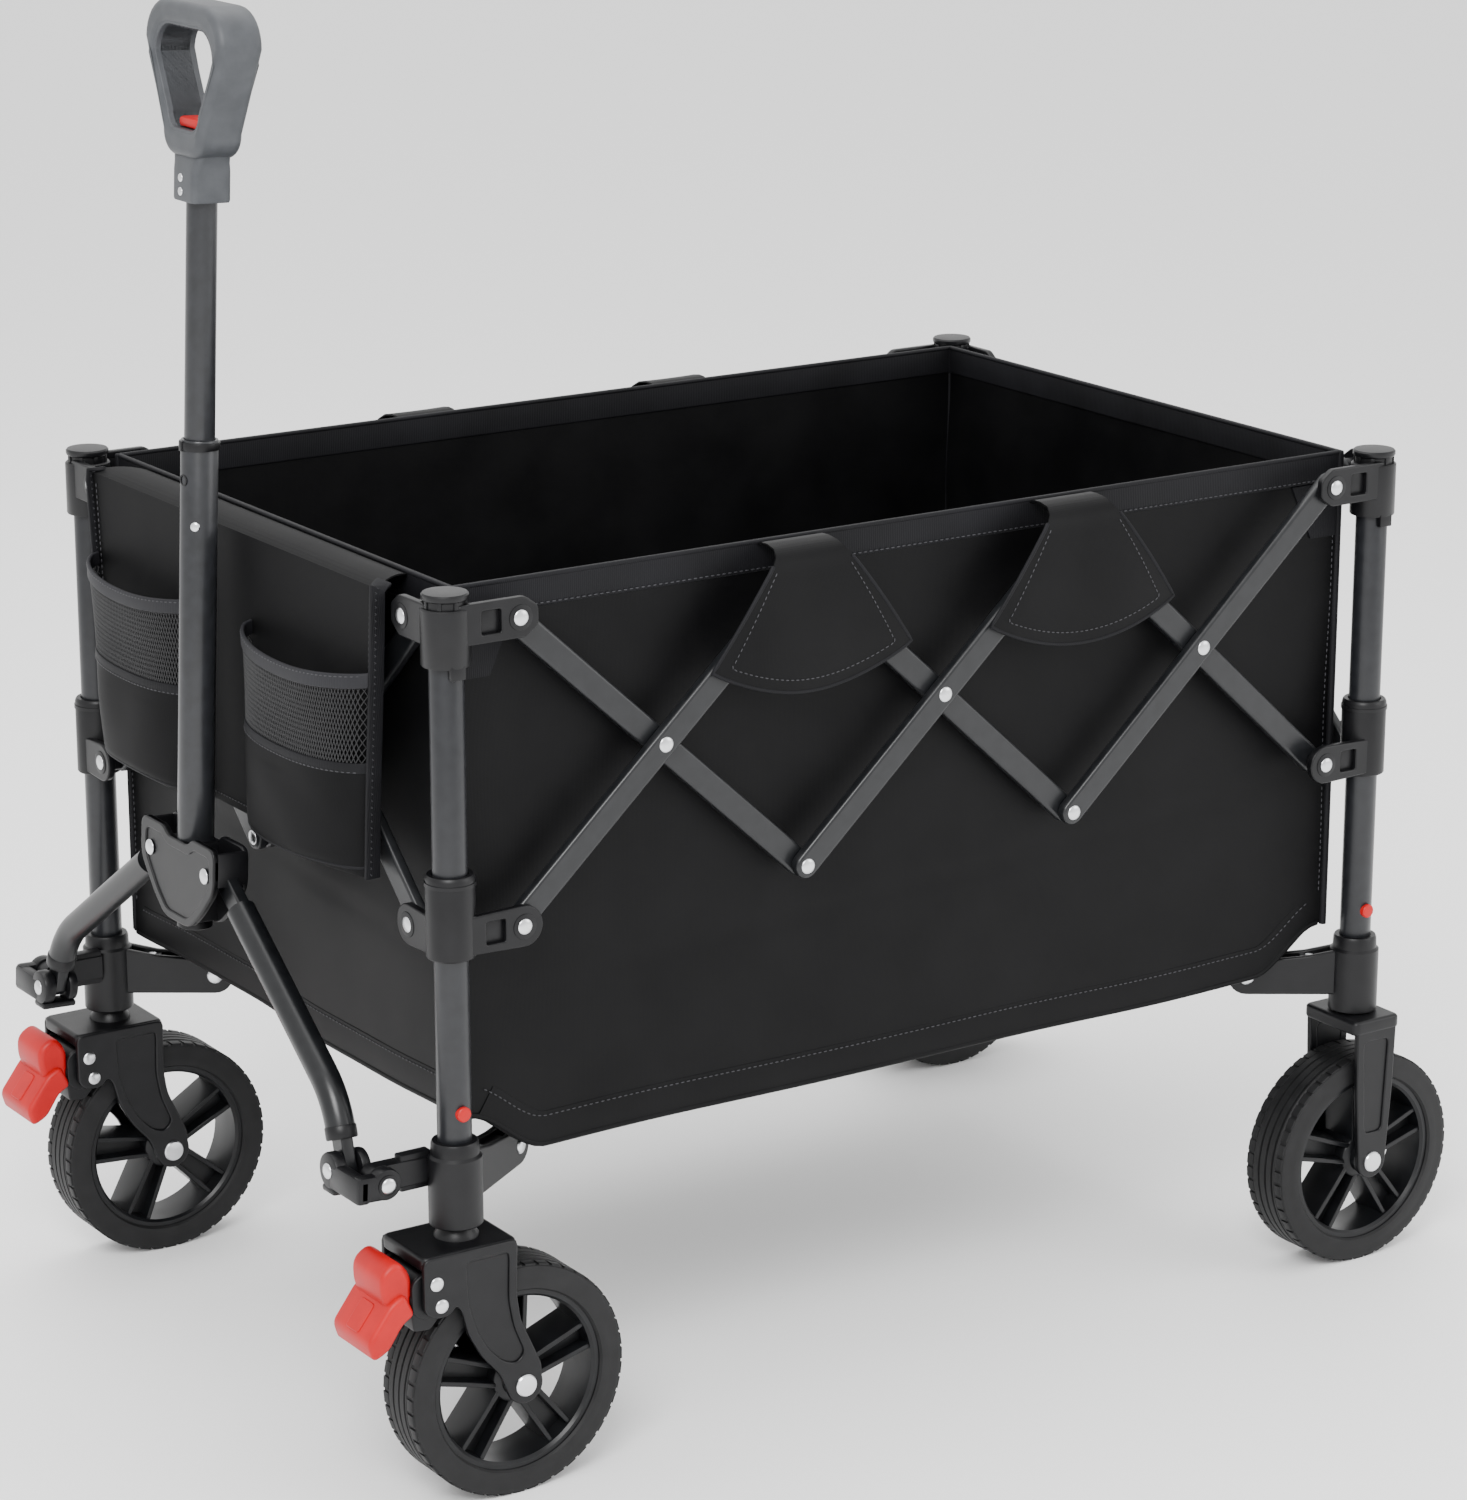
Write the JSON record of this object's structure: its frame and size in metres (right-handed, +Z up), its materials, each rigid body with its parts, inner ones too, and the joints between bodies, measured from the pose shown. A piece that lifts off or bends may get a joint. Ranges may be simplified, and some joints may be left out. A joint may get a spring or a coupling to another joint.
{
  "type": "folding camp wagon",
  "caption": "Folding camp wagon with a scissor frame, fabric basket, steering front wheels and a telescopic pull handle.",
  "frame": {"origin": "on the ground under the centre of the frame's bounding box", "axes": "+X to the rear, the handle end is -X, +Z up, the left side faces -Y"},
  "size_m": [1.034, 0.64, 1.0703],
  "materials": {
    "frame_tube": "satin dark grey powder coat",
    "scissor_bar": "satin black powder coat with pressed steel rivets",
    "moulded_black": "fine grained black nylon",
    "wheel_plastic": "satin black",
    "tyre_rubber": "dull dark grey with a moulded tread",
    "brake_red": "satin red",
    "grip_grey": "satin mid grey",
    "handle_tube": "satin dark grey powder coat",
    "basket_fabric": "black woven polyester",
    "pocket_fabric": "black woven polyester and mesh"
  },
  "bodies": {
    "post_front_left": {"post_front_left": "frame_tube", "fittings_front_left": "moulded_black", "basket": "basket_fabric", "pockets": "pocket_fabric"},
    "slider_front_left": {"slider_front_left": "moulded_black"},
    "strut_front_left": {"strut_front_left": "scissor_bar"},
    "wheel_front_left": {"wheel_front_left": "wheel_plastic", "tyre_front_left": "tyre_rubber"},
    "post_front_right": {"post_front_right": "frame_tube", "fittings_front_right": "moulded_black"},
    "slider_front_right": {"slider_front_right": "moulded_black"},
    "strut_front_right": {"strut_front_right": "scissor_bar"},
    "wheel_front_right": {"wheel_front_right": "wheel_plastic", "tyre_front_right": "tyre_rubber"},
    "post_rear_left": {"post_rear_left": "frame_tube", "fittings_rear_left": "moulded_black"},
    "slider_rear_left": {"slider_rear_left": "moulded_black"},
    "strut_rear_left": {"strut_rear_left": "scissor_bar"},
    "wheel_rear_left": {"wheel_rear_left": "wheel_plastic", "tyre_rear_left": "tyre_rubber"},
    "post_rear_right": {"post_rear_right": "frame_tube", "fittings_rear_right": "moulded_black"},
    "slider_rear_right": {"slider_rear_right": "moulded_black"},
    "strut_rear_right": {"strut_rear_right": "scissor_bar"},
    "wheel_rear_right": {"wheel_rear_right": "wheel_plastic", "tyre_rear_right": "tyre_rubber"},
    "left_outer_bar_1": {"left_outer_bar_1": "scissor_bar"},
    "left_inner_bar_1": {"left_inner_bar_1": "scissor_bar"},
    "left_outer_bar_2": {"left_outer_bar_2": "scissor_bar"},
    "left_inner_bar_2": {"left_inner_bar_2": "scissor_bar"},
    "left_outer_bar_3": {"left_outer_bar_3": "scissor_bar"},
    "left_inner_bar_3": {"left_inner_bar_3": "scissor_bar"},
    "right_outer_bar_1": {"right_outer_bar_1": "scissor_bar"},
    "right_inner_bar_1": {"right_inner_bar_1": "scissor_bar"},
    "right_outer_bar_2": {"right_outer_bar_2": "scissor_bar"},
    "right_inner_bar_2": {"right_inner_bar_2": "scissor_bar"},
    "right_outer_bar_3": {"right_outer_bar_3": "scissor_bar"},
    "right_inner_bar_3": {"right_inner_bar_3": "scissor_bar"},
    "front_outer_bar_1": {"front_outer_bar_1": "scissor_bar"},
    "front_inner_bar_1": {"front_inner_bar_1": "scissor_bar"},
    "front_outer_bar_2": {"front_outer_bar_2": "scissor_bar"},
    "front_inner_bar_2": {"front_inner_bar_2": "scissor_bar"},
    "rear_outer_bar_1": {"rear_outer_bar_1": "scissor_bar"},
    "rear_inner_bar_1": {"rear_inner_bar_1": "scissor_bar"},
    "rear_outer_bar_2": {"rear_outer_bar_2": "scissor_bar"},
    "rear_inner_bar_2": {"rear_inner_bar_2": "scissor_bar"},
    "centre_plate": {"centre_plate": "moulded_black"},
    "front_fork_left": {"front_fork_left": "moulded_black"},
    "brake_left": {"brake_left": "brake_red"},
    "knuckle_left": {"knuckle_left": "moulded_black"},
    "leg_left": {"leg_left": "scissor_bar"},
    "front_fork_right": {"front_fork_right": "moulded_black"},
    "brake_right": {"brake_right": "brake_red"},
    "knuckle_right": {"knuckle_right": "moulded_black"},
    "leg_right": {"leg_right": "scissor_bar"},
    "yoke": {"yoke": "moulded_black", "outer_tube": "handle_tube"},
    "inner_tube": {"inner_tube": "handle_tube", "grip": "grip_grey"},
    "trigger": {"trigger": "brake_red"}
  },
  "joints": [
    {"name": "fold", "type": "hinge", "parent": "post_front_left", "child": "left_inner_bar_1", "pos_m": [-0.375, -0.285, 0.664], "axis": [0, 1, 0], "range_deg": [0, 39.99], "deforming": ["basket", "pockets"]},
    {"name": "left_outer_1_pivot", "type": "hinge", "parent": "left_inner_bar_1", "child": "left_outer_bar_1", "pos_m": [-0.25, -0.285, 0.55], "axis": [0, 1, 0], "range_deg": [-79.98, 0]},
    {"name": "slider_front_left_pivot", "type": "hinge", "parent": "left_outer_bar_1", "child": "slider_front_left", "pos_m": [-0.375, -0.285, 0.436], "axis": [0, 1, 0], "range_deg": [0, 39.99]},
    {"name": "left_inner_2_pivot", "type": "hinge", "parent": "left_outer_bar_1", "child": "left_inner_bar_2", "pos_m": [-0.125, -0.285, 0.664], "axis": [0, 1, 0], "range_deg": [0, 79.98]},
    {"name": "left_outer_2_pivot", "type": "hinge", "parent": "left_inner_bar_2", "child": "left_outer_bar_2", "pos_m": [0, -0.285, 0.55], "axis": [0, 1, 0], "range_deg": [-79.98, 0]},
    {"name": "left_inner_3_pivot", "type": "hinge", "parent": "left_outer_bar_2", "child": "left_inner_bar_3", "pos_m": [0.125, -0.285, 0.664], "axis": [0, 1, 0], "range_deg": [0, 79.98]},
    {"name": "left_outer_3_pivot", "type": "hinge", "parent": "left_inner_bar_3", "child": "left_outer_bar_3", "pos_m": [0.25, -0.285, 0.55], "axis": [0, 1, 0], "range_deg": [-79.98, 0]},
    {"name": "slider_rear_left_pivot", "type": "hinge", "parent": "left_inner_bar_3", "child": "slider_rear_left", "pos_m": [0.375, -0.285, 0.436], "axis": [0, 1, 0], "range_deg": [-39.99, 0]},
    {"name": "post_rear_left_pivot", "type": "hinge", "parent": "left_outer_bar_3", "child": "post_rear_left", "pos_m": [0.375, -0.285, 0.664], "axis": [0, 1, 0], "range_deg": [0, 39.99]},
    {"name": "front_inner_1_pivot", "type": "hinge", "parent": "post_front_left", "child": "front_inner_bar_1", "pos_m": [-0.427, -0.25, 0.664], "axis": [1, 0, 0], "range_deg": [-39.99, 0]},
    {"name": "front_outer_1_pivot", "type": "hinge", "parent": "front_inner_bar_1", "child": "front_outer_bar_1", "pos_m": [-0.427, -0.125, 0.55], "axis": [1, 0, 0], "range_deg": [0, 79.98]},
    {"name": "front_inner_2_pivot", "type": "hinge", "parent": "front_outer_bar_1", "child": "front_inner_bar_2", "pos_m": [-0.427, 0, 0.664], "axis": [1, 0, 0], "range_deg": [-79.98, 0]},
    {"name": "front_outer_2_pivot", "type": "hinge", "parent": "front_inner_bar_2", "child": "front_outer_bar_2", "pos_m": [-0.427, 0.125, 0.55], "axis": [1, 0, 0], "range_deg": [0, 79.98]},
    {"name": "post_front_right_pivot", "type": "hinge", "parent": "front_outer_bar_2", "child": "post_front_right", "pos_m": [-0.427, 0.25, 0.664], "axis": [1, 0, 0], "range_deg": [-39.99, 0]},
    {"name": "right_inner_1_pivot", "type": "hinge", "parent": "post_front_right", "child": "right_inner_bar_1", "pos_m": [-0.375, 0.285, 0.664], "axis": [0, 1, 0], "range_deg": [0, 39.99]},
    {"name": "right_outer_1_pivot", "type": "hinge", "parent": "right_inner_bar_1", "child": "right_outer_bar_1", "pos_m": [-0.25, 0.285, 0.55], "axis": [0, 1, 0], "range_deg": [-79.98, 0]},
    {"name": "slider_front_right_pivot", "type": "hinge", "parent": "right_outer_bar_1", "child": "slider_front_right", "pos_m": [-0.375, 0.285, 0.436], "axis": [0, 1, 0], "range_deg": [0, 39.99]},
    {"name": "right_inner_2_pivot", "type": "hinge", "parent": "right_outer_bar_1", "child": "right_inner_bar_2", "pos_m": [-0.125, 0.285, 0.664], "axis": [0, 1, 0], "range_deg": [0, 79.98]},
    {"name": "right_outer_2_pivot", "type": "hinge", "parent": "right_inner_bar_2", "child": "right_outer_bar_2", "pos_m": [0, 0.285, 0.55], "axis": [0, 1, 0], "range_deg": [-79.98, 0]},
    {"name": "right_inner_3_pivot", "type": "hinge", "parent": "right_outer_bar_2", "child": "right_inner_bar_3", "pos_m": [0.125, 0.285, 0.664], "axis": [0, 1, 0], "range_deg": [0, 79.98]},
    {"name": "right_outer_3_pivot", "type": "hinge", "parent": "right_inner_bar_3", "child": "right_outer_bar_3", "pos_m": [0.25, 0.285, 0.55], "axis": [0, 1, 0], "range_deg": [-79.98, 0]},
    {"name": "slider_rear_right_pivot", "type": "hinge", "parent": "right_inner_bar_3", "child": "slider_rear_right", "pos_m": [0.375, 0.285, 0.436], "axis": [0, 1, 0], "range_deg": [-39.99, 0]},
    {"name": "post_rear_right_pivot", "type": "hinge", "parent": "right_outer_bar_3", "child": "post_rear_right", "pos_m": [0.375, 0.285, 0.664], "axis": [0, 1, 0], "range_deg": [0, 39.99]},
    {"name": "rear_inner_1_pivot", "type": "hinge", "parent": "post_rear_left", "child": "rear_inner_bar_1", "pos_m": [0.427, -0.25, 0.664], "axis": [1, 0, 0], "range_deg": [-39.99, 0]},
    {"name": "rear_outer_1_pivot", "type": "hinge", "parent": "rear_inner_bar_1", "child": "rear_outer_bar_1", "pos_m": [0.427, -0.125, 0.55], "axis": [1, 0, 0], "range_deg": [0, 79.98]},
    {"name": "rear_inner_2_pivot", "type": "hinge", "parent": "rear_outer_bar_1", "child": "rear_inner_bar_2", "pos_m": [0.427, 0, 0.664], "axis": [1, 0, 0], "range_deg": [-79.98, 0]},
    {"name": "rear_outer_2_pivot", "type": "hinge", "parent": "rear_inner_bar_2", "child": "rear_outer_bar_2", "pos_m": [0.427, 0.125, 0.55], "axis": [1, 0, 0], "range_deg": [0, 79.98]},
    {"name": "strut_front_left_pivot", "type": "hinge", "parent": "post_front_left", "child": "strut_front_left", "pos_m": [-0.35297, -0.23559, 0.245], "axis": [0.5552, -0.8318, 0], "range_deg": [0, 91.19]},
    {"name": "centre_plate_pivot", "type": "hinge", "parent": "strut_front_left", "child": "centre_plate", "pos_m": [-0.06654, -0.04441, 0.26305], "axis": [0.5552, -0.8318, 0], "range_deg": [-91.19, 0]},
    {"name": "strut_front_right_pivot", "type": "hinge", "parent": "post_front_right", "child": "strut_front_right", "pos_m": [-0.35297, 0.23559, 0.245], "axis": [-0.5552, -0.8318, 0], "range_deg": [0, 91.19]},
    {"name": "strut_rear_left_pivot", "type": "hinge", "parent": "post_rear_left", "child": "strut_rear_left", "pos_m": [0.35297, -0.23559, 0.245], "axis": [0.5552, 0.8318, 0], "range_deg": [0, 91.19]},
    {"name": "strut_rear_right_pivot", "type": "hinge", "parent": "post_rear_right", "child": "strut_rear_right", "pos_m": [0.35297, 0.23559, 0.245], "axis": [-0.5552, 0.8318, 0], "range_deg": [0, 91.19]},
    {"name": "front_left_swivel", "type": "hinge", "parent": "post_front_left", "child": "front_fork_left", "pos_m": [-0.427, -0.285, 0.207], "axis": [0, 0, 1], "continuous": true},
    {"name": "front_left_wheel_spin", "type": "hinge", "parent": "front_fork_left", "child": "wheel_front_left", "pos_m": [-0.389, -0.285, 0.09], "axis": [0, 1, 0], "continuous": true},
    {"name": "rear_left_wheel_spin", "type": "hinge", "parent": "post_rear_left", "child": "wheel_rear_left", "pos_m": [0.427, -0.285, 0.09], "axis": [0, 1, 0], "continuous": true},
    {"name": "brake_left_press", "type": "hinge", "parent": "front_fork_left", "child": "brake_left", "pos_m": [-0.462, -0.285, 0.186], "axis": [0, -1, 0], "range_deg": [0, 4]},
    {"name": "front_right_swivel", "type": "hinge", "parent": "post_front_right", "child": "front_fork_right", "pos_m": [-0.427, 0.285, 0.207], "axis": [0, 0, 1], "continuous": true},
    {"name": "front_right_wheel_spin", "type": "hinge", "parent": "front_fork_right", "child": "wheel_front_right", "pos_m": [-0.389, 0.285, 0.09], "axis": [0, 1, 0], "continuous": true},
    {"name": "rear_right_wheel_spin", "type": "hinge", "parent": "post_rear_right", "child": "wheel_rear_right", "pos_m": [0.427, 0.285, 0.09], "axis": [0, 1, 0], "continuous": true},
    {"name": "brake_right_press", "type": "hinge", "parent": "front_fork_right", "child": "brake_right", "pos_m": [-0.462, 0.285, 0.186], "axis": [0, -1, 0], "range_deg": [0, 4]},
    {"name": "handle_tilt", "type": "hinge", "parent": "post_front_left", "child": "knuckle_left", "pos_m": [-0.485, -0.285, 0.258], "axis": [0, -1, 0], "range_deg": [0, 95]},
    {"name": "handle_tilt_right", "type": "hinge", "parent": "post_front_right", "child": "knuckle_right", "pos_m": [-0.485, 0.285, 0.258], "axis": [0, -1, 0], "range_deg": [0, 95]},
    {"name": "leg_left_pivot", "type": "hinge", "parent": "knuckle_left", "child": "leg_left", "pos_m": [-0.49299, -0.243, 0.25838], "axis": [0.9989, 0, -0.0471], "range_deg": [0, 51.05]},
    {"name": "yoke_pivot", "type": "hinge", "parent": "leg_left", "child": "yoke", "pos_m": [-0.48503, -0.045, 0.42719], "axis": [0.9989, 0, -0.0471], "range_deg": [-51.05, 0]},
    {"name": "leg_right_pivot", "type": "hinge", "parent": "yoke", "child": "leg_right", "pos_m": [-0.48503, 0.045, 0.42719], "axis": [0.9989, 0, -0.0471], "range_deg": [-51.05, 0]},
    {"name": "handle_extend", "type": "slide", "parent": "yoke", "child": "inner_tube", "axis": [0.0471, 0, 0.9989], "range_m": [0, 0.2]},
    {"name": "trigger_press", "type": "slide", "parent": "inner_tube", "child": "trigger", "axis": [-0.0471, 0, -0.9989], "range_m": [0, 0.005], "stiffness_N_per_m": 400}
  ],
  "couplings": [
    {"joint": "left_outer_1_pivot", "follows": "fold", "ratio": -2},
    {"joint": "slider_front_left_pivot", "follows": "fold", "ratio": 1},
    {"joint": "left_inner_2_pivot", "follows": "fold", "ratio": 2},
    {"joint": "left_outer_2_pivot", "follows": "fold", "ratio": -2},
    {"joint": "left_inner_3_pivot", "follows": "fold", "ratio": 2},
    {"joint": "left_outer_3_pivot", "follows": "fold", "ratio": -2},
    {"joint": "slider_rear_left_pivot", "follows": "fold", "ratio": -1},
    {"joint": "post_rear_left_pivot", "follows": "fold", "ratio": 1},
    {"joint": "front_inner_1_pivot", "follows": "fold", "ratio": -1},
    {"joint": "front_outer_1_pivot", "follows": "fold", "ratio": 2},
    {"joint": "front_inner_2_pivot", "follows": "fold", "ratio": -2},
    {"joint": "front_outer_2_pivot", "follows": "fold", "ratio": 2},
    {"joint": "post_front_right_pivot", "follows": "fold", "ratio": -1},
    {"joint": "right_inner_1_pivot", "follows": "fold", "ratio": 1},
    {"joint": "right_outer_1_pivot", "follows": "fold", "ratio": -2},
    {"joint": "slider_front_right_pivot", "follows": "fold", "ratio": 1},
    {"joint": "right_inner_2_pivot", "follows": "fold", "ratio": 2},
    {"joint": "right_outer_2_pivot", "follows": "fold", "ratio": -2},
    {"joint": "right_inner_3_pivot", "follows": "fold", "ratio": 2},
    {"joint": "right_outer_3_pivot", "follows": "fold", "ratio": -2},
    {"joint": "slider_rear_right_pivot", "follows": "fold", "ratio": -1},
    {"joint": "post_rear_right_pivot", "follows": "fold", "ratio": 1},
    {"joint": "rear_inner_1_pivot", "follows": "fold", "ratio": -1},
    {"joint": "rear_outer_1_pivot", "follows": "fold", "ratio": 2},
    {"joint": "rear_inner_2_pivot", "follows": "fold", "ratio": -2},
    {"joint": "rear_outer_2_pivot", "follows": "fold", "ratio": 2},
    {"joint": "strut_front_left_pivot", "follows": "fold", "ratio": 2.2802},
    {"joint": "centre_plate_pivot", "follows": "fold", "ratio": -2.2802},
    {"joint": "strut_front_right_pivot", "follows": "fold", "ratio": 2.2802},
    {"joint": "strut_rear_left_pivot", "follows": "fold", "ratio": 2.2802},
    {"joint": "strut_rear_right_pivot", "follows": "fold", "ratio": 2.2802},
    {"joint": "handle_tilt_right", "follows": "handle_tilt", "ratio": 1},
    {"joint": "leg_left_pivot", "follows": "fold", "ratio": 1.2767},
    {"joint": "yoke_pivot", "follows": "fold", "ratio": -1.2767},
    {"joint": "leg_right_pivot", "follows": "fold", "ratio": -1.2767}
  ]
}
